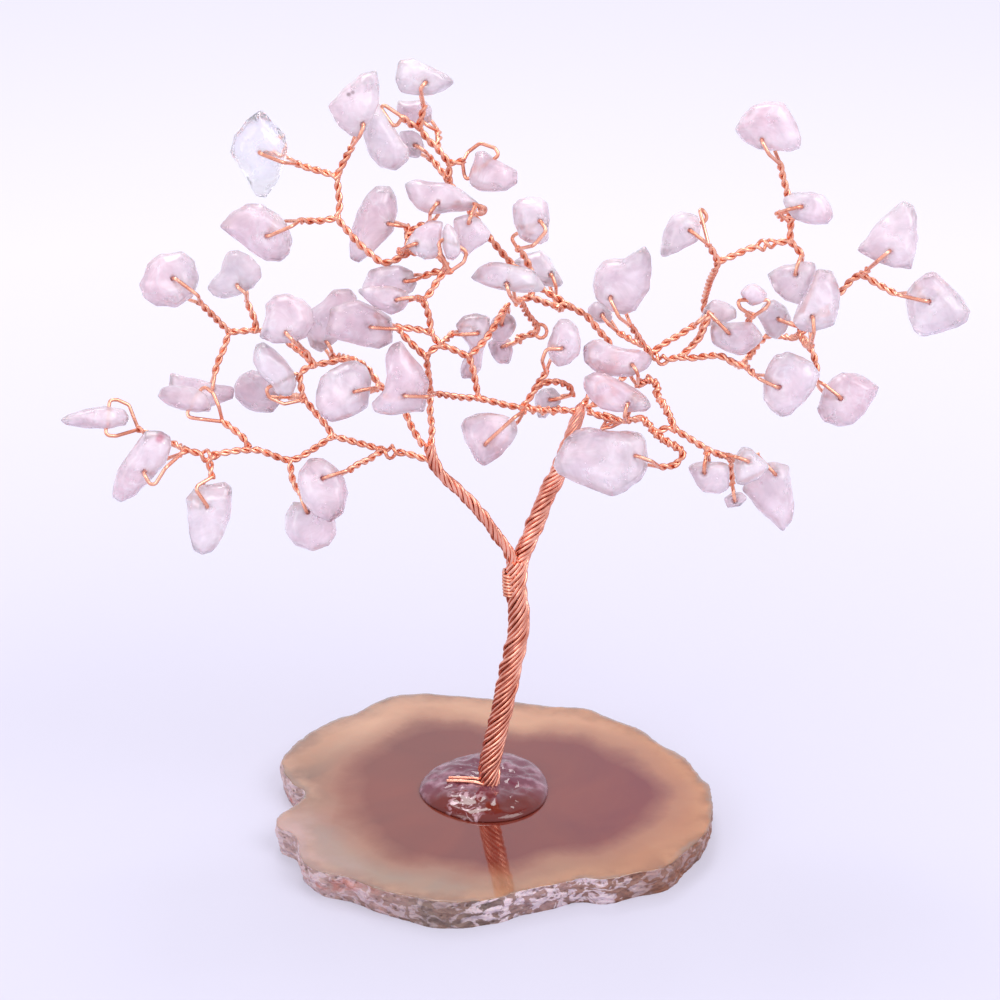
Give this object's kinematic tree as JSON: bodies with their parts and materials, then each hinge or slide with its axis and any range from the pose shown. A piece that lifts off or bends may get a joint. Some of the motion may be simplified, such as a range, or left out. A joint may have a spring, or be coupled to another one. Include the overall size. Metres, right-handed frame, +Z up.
{
  "type": "gemstone tree ornament",
  "caption": "Small ornamental tree: drilled tumbled quartz chips threaded on branching twisted copper wire, rising from one wire trunk glued to a polished agate slice.",
  "frame": {"origin": "on the underside of the slice, straight below the trunk's foot", "axes": "+Z up, +X to the right of the front view, +Y to the back"},
  "size_m": [0.1422, 0.0729, 0.1287],
  "materials": {
    "copper_wire": "bright drawn copper wire",
    "rose_quartz": "tumbled, glossy, milky pale pink",
    "clear_quartz": "tumbled, glossy, nearly clear",
    "agate": "banded stone with a polished top and a rough crust",
    "glue": "clear, glossy, set glue"
  },
  "bodies": {
    "tree": {"agate_slice": "agate", "trunk": "copper_wire", "right_limb": "copper_wire", "left_limb": "copper_wire", "foot_wires": "copper_wire", "glue_mound": "glue", "left_low_wire": "copper_wire", "left_rise_wire": "copper_wire", "far_left_wire": "copper_wire", "centre_left_wire": "copper_wire", "centre_wire": "copper_wire", "upper_left_wire": "copper_wire", "centre_cross_wire": "copper_wire", "top_wire": "copper_wire", "upper_mid_wire": "copper_wire", "right_wire": "copper_wire", "right_outer_wire": "copper_wire", "upper_right_wire": "copper_wire", "lower_right_wire": "copper_wire", "left_low_tight_chips": "rose_quartz", "far_left_tight_chips": "rose_quartz", "left_rise_tight_chips": "rose_quartz", "centre_cross_tight_chips": "rose_quartz", "centre_tight_chips": "rose_quartz", "top_tight_chips": "rose_quartz", "upper_left_tight_chips": "rose_quartz", "upper_mid_tight_chips": "rose_quartz", "upper_right_tight_chips": "rose_quartz", "right_tight_chips": "rose_quartz", "right_outer_tight_chips": "rose_quartz", "lower_right_tight_chips": "rose_quartz"},
    "chip_left_01": {"chip_left_01": "rose_quartz"},
    "chip_left_02": {"chip_left_02": "rose_quartz"},
    "chip_left_03": {"chip_left_03": "rose_quartz"},
    "chip_left_04": {"chip_left_04": "rose_quartz"},
    "chip_left_05": {"chip_left_05": "rose_quartz"},
    "chip_left_07": {"chip_left_07": "rose_quartz"},
    "chip_left_08": {"chip_left_08": "rose_quartz"},
    "chip_left_09": {"chip_left_09": "rose_quartz"},
    "chip_left_14": {"chip_left_14": "rose_quartz"},
    "chip_left_16": {"chip_left_16": "rose_quartz"},
    "chip_top_01": {"chip_top_01": "rose_quartz"},
    "chip_top_02": {"chip_top_02": "clear_quartz"},
    "chip_top_03": {"chip_top_03": "rose_quartz"},
    "chip_top_05": {"chip_top_05": "rose_quartz"},
    "chip_top_08": {"chip_top_08": "rose_quartz"},
    "chip_top_13": {"chip_top_13": "rose_quartz"},
    "chip_centre_01": {"chip_centre_01": "rose_quartz"},
    "chip_centre_04": {"chip_centre_04": "rose_quartz"},
    "chip_centre_06": {"chip_centre_06": "rose_quartz"},
    "chip_right_01": {"chip_right_01": "rose_quartz"},
    "chip_right_03": {"chip_right_03": "rose_quartz"},
    "chip_right_04": {"chip_right_04": "rose_quartz"},
    "chip_right_05": {"chip_right_05": "rose_quartz"},
    "chip_right_06": {"chip_right_06": "rose_quartz"},
    "chip_right_12": {"chip_right_12": "rose_quartz"},
    "chip_right_13": {"chip_right_13": "rose_quartz"},
    "chip_right_16": {"chip_right_16": "rose_quartz"},
    "chip_right_18": {"chip_right_18": "rose_quartz"}
  },
  "joints": [
    {"name": "chip_left_01_swing", "type": "hinge", "parent": "tree", "child": "chip_left_01", "pos_m": [-0.0606, 0.00163, 0.07219], "axis": [0.1043, 0.535, 0.8384], "range_deg": [-12, 12]},
    {"name": "chip_left_02_swing", "type": "hinge", "parent": "tree", "child": "chip_left_02", "pos_m": [-0.05416, -0.00401, 0.06551], "axis": [-0.0348, -0.9771, 0.2099], "range_deg": [-9, 12]},
    {"name": "chip_left_03_swing", "type": "hinge", "parent": "tree", "child": "chip_left_03", "pos_m": [-0.04527, -0.00399, 0.05933], "axis": [0.3203, -0.8981, 0.3015], "range_deg": [-12, 10]},
    {"name": "chip_left_04_swing", "type": "hinge", "parent": "tree", "child": "chip_left_04", "pos_m": [-0.04657, 0.00002, 0.07561], "axis": [0.5097, 0.3771, 0.7733], "range_deg": [-12, 12]},
    {"name": "chip_left_05_swing", "type": "hinge", "parent": "tree", "child": "chip_left_05", "pos_m": [-0.02869, -0.00334, 0.05801], "axis": [-0.0609, -0.9154, 0.3979], "range_deg": [-12, 12]},
    {"name": "chip_left_07_swing", "type": "hinge", "parent": "tree", "child": "chip_left_07", "pos_m": [-0.03286, 0.00433, 0.07753], "axis": [0.8758, 0.2946, 0.3823], "range_deg": [-12, 12]},
    {"name": "chip_left_08_swing", "type": "hinge", "parent": "tree", "child": "chip_left_08", "pos_m": [-0.03941, 0.00828, 0.0924], "axis": [-0.1372, -0.9739, 0.1811], "range_deg": [-12, 12]},
    {"name": "chip_left_09_swing", "type": "hinge", "parent": "tree", "child": "chip_left_09", "pos_m": [-0.05014, 0.0058, 0.09373], "axis": [0.3097, -0.859, 0.4077], "range_deg": [-12, 12]},
    {"name": "chip_left_14_swing", "type": "hinge", "parent": "tree", "child": "chip_left_14", "pos_m": [-0.02179, -0.00001, 0.0768], "axis": [0.2797, -0.8346, 0.4746], "range_deg": [-12, 12]},
    {"name": "chip_left_16_swing", "type": "hinge", "parent": "tree", "child": "chip_left_16", "pos_m": [-0.01894, 0.00082, 0.08801], "axis": [0.2115, -0.9564, 0.2014], "range_deg": [-12, 10]},
    {"name": "chip_top_01_swing", "type": "hinge", "parent": "tree", "child": "chip_top_01", "pos_m": [-0.03449, -0.00155, 0.10361], "axis": [0.2478, -0.9538, 0.1697], "range_deg": [-12, 12]},
    {"name": "chip_top_02_swing", "type": "hinge", "parent": "tree", "child": "chip_top_02", "pos_m": [-0.03487, 0.00426, 0.11508], "axis": [-0.1168, -0.9779, 0.1737], "range_deg": [-12, 12]},
    {"name": "chip_top_03_swing", "type": "hinge", "parent": "tree", "child": "chip_top_03", "pos_m": [-0.01934, -0.00078, 0.12042], "axis": [0.2175, -0.8961, 0.387], "range_deg": [-12, 12]},
    {"name": "chip_top_05_swing", "type": "hinge", "parent": "tree", "child": "chip_top_05", "pos_m": [-0.01011, 0.00679, 0.12494], "axis": [0.2276, -0.9097, 0.3472], "range_deg": [-12, 12]},
    {"name": "chip_top_08_swing", "type": "hinge", "parent": "tree", "child": "chip_top_08", "pos_m": [-0.00097, 0.00862, 0.11118], "axis": [0.792, 0.108, 0.6009], "range_deg": [-12, 12]},
    {"name": "chip_top_13_swing", "type": "hinge", "parent": "tree", "child": "chip_top_13", "pos_m": [-0.00561, -0.00605, 0.10361], "axis": [-0.87, 0.0512, 0.4905], "range_deg": [-12, 12]},
    {"name": "chip_centre_01_swing", "type": "hinge", "parent": "tree", "child": "chip_centre_01", "pos_m": [0.00742, 0.00476, 0.10355], "axis": [0.1547, -0.9191, 0.3623], "range_deg": [-12, 12]},
    {"name": "chip_centre_04_swing", "type": "hinge", "parent": "tree", "child": "chip_centre_04", "pos_m": [0.01105, -0.00023, 0.08474], "axis": [0.1083, -0.9649, 0.2391], "range_deg": [-12, 12]},
    {"name": "chip_centre_06_swing", "type": "hinge", "parent": "tree", "child": "chip_centre_06", "pos_m": [-0.00037, -0.00371, 0.06947], "axis": [-0.1249, -0.8773, 0.4635], "range_deg": [-12, 12]},
    {"name": "chip_right_01_swing", "type": "hinge", "parent": "tree", "child": "chip_right_01", "pos_m": [0.04191, 0.00195, 0.11778], "axis": [-0.2281, -0.9593, 0.1664], "range_deg": [-12, 12]},
    {"name": "chip_right_03_swing", "type": "hinge", "parent": "tree", "child": "chip_right_03", "pos_m": [0.03035, -0.00105, 0.10425], "axis": [0.1352, -0.9702, 0.2009], "range_deg": [-12, 12]},
    {"name": "chip_right_04_swing", "type": "hinge", "parent": "tree", "child": "chip_right_04", "pos_m": [0.01933, 0.00264, 0.09216], "axis": [-0.2079, -0.9534, 0.2186], "range_deg": [-12, 12]},
    {"name": "chip_right_05_swing", "type": "hinge", "parent": "tree", "child": "chip_right_05", "pos_m": [0.06132, -0.00142, 0.10052], "axis": [-0.0063, -0.9028, 0.43], "range_deg": [-12, 12]},
    {"name": "chip_right_06_swing", "type": "hinge", "parent": "tree", "child": "chip_right_06", "pos_m": [0.06867, -0.0006, 0.09262], "axis": [-0.3431, -0.911, 0.2288], "range_deg": [-12, 12]},
    {"name": "chip_right_12_swing", "type": "hinge", "parent": "tree", "child": "chip_right_12", "pos_m": [0.04565, -0.00207, 0.07893], "axis": [-0.2622, -0.9309, 0.2543], "range_deg": [-12, 12]},
    {"name": "chip_right_13_swing", "type": "hinge", "parent": "tree", "child": "chip_right_13", "pos_m": [0.05558, 0.00364, 0.07439], "axis": [0.0076, -0.893, 0.45], "range_deg": [-12, 12]},
    {"name": "chip_right_16_swing", "type": "hinge", "parent": "tree", "child": "chip_right_16", "pos_m": [0.04597, 0.00598, 0.06087], "axis": [0.0316, -0.9665, 0.2548], "range_deg": [-12, 12]},
    {"name": "chip_right_18_swing", "type": "hinge", "parent": "tree", "child": "chip_right_18", "pos_m": [0.02256, -0.0051, 0.06817], "axis": [0.0602, -0.8958, 0.4403], "range_deg": [-12, 12]}
  ]
}
